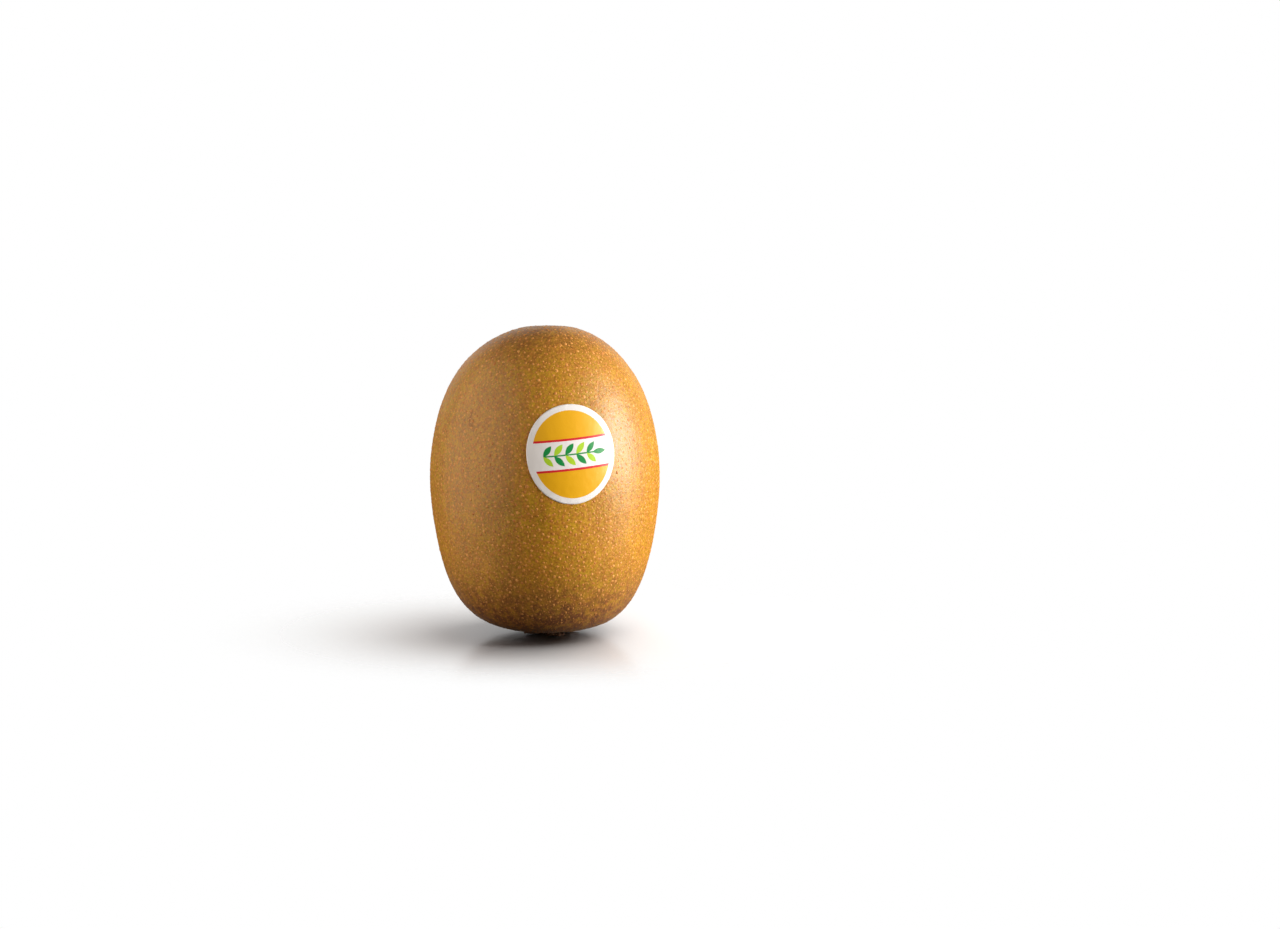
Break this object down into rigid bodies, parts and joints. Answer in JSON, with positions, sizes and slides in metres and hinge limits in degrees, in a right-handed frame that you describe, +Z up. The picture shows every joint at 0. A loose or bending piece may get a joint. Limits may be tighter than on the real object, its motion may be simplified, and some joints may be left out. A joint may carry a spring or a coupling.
{
  "type": "golden kiwi fruit",
  "caption": "Whole golden kiwi fruit standing on its stalk end, with dried calyx, dried styles in a top dimple and an oval sticker.",
  "frame": {"origin": "centre of the flat spot under the dried calyx, on which the fruit stands", "axes": "+Z up from the stalk end to the blossom end, along the longest dimension; X across the wider side; Y across the thinner side, with the sticker on the -Y side, a little towards +X"},
  "size_m": [0.0528, 0.0504, 0.0722],
  "materials": {
    "kiwi_skin": "satin golden-brown fruit skin with fine corky dots",
    "dry_sepal": "matte dry brown sepals and woody stalk scar",
    "dry_style": "matte dark dried styles",
    "label_film": "thin printed film, semi-gloss, white rim with plain coloured fields"
  },
  "bodies": {
    "root": {"fruit": "kiwi_skin", "calyx": "dry_sepal", "styles": "dry_style", "sticker": "label_film"}
  },
  "joints": []
}
